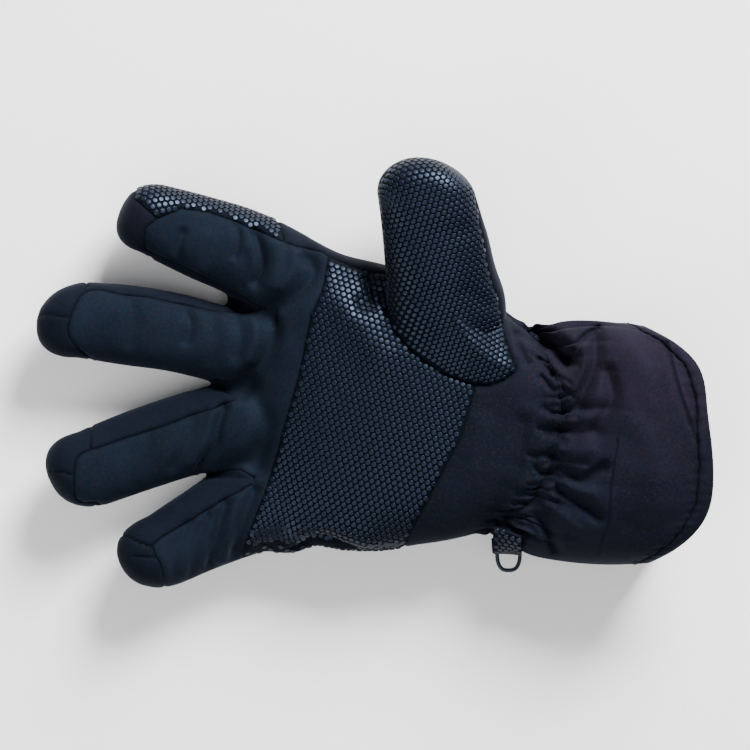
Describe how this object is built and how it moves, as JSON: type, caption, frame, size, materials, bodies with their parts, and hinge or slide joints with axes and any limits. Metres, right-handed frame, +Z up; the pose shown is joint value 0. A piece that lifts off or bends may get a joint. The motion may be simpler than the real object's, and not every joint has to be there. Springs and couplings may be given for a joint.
{
  "type": "winter glove",
  "caption": "Padded right-hand winter glove lying palm up, hollow for the hand, with a gathered gauntlet cuff, dotted grip patches on palm, thumb and index finger, and a clip loop.",
  "frame": {"origin": "middle of the footprint, on the surface that the back of the hand rests on", "axes": "+X from the fingertips to the cuff, +Y towards the thumb, +Z up, out of the palm"},
  "size_m": [0.2854, 0.1816, 0.0579],
  "materials": {
    "front_fabric": "matt dark blue woven shell",
    "back_fabric": "matt dark blue woven shell",
    "cuff_fabric": "matt dark blue-grey woven shell",
    "grip_fabric": "dark blue synthetic with raised soft-gloss dots",
    "loop_plastic": "smooth black moulded plastic"
  },
  "bodies": {
    "root": {"front_panel": "front_fabric", "palm_patch": "grip_fabric", "wrist_panel": "front_fabric", "index_grip_strip": "grip_fabric", "index_middle_gusset": "back_fabric", "middle_ring_gusset": "back_fabric", "ring_little_gusset": "back_fabric", "back_panel": "back_fabric", "thumb_front": "grip_fabric", "thumb_back": "back_fabric", "cuff": "cuff_fabric", "clip_tab": "grip_fabric", "clip_loop": "loop_plastic"}
  },
  "joints": []
}
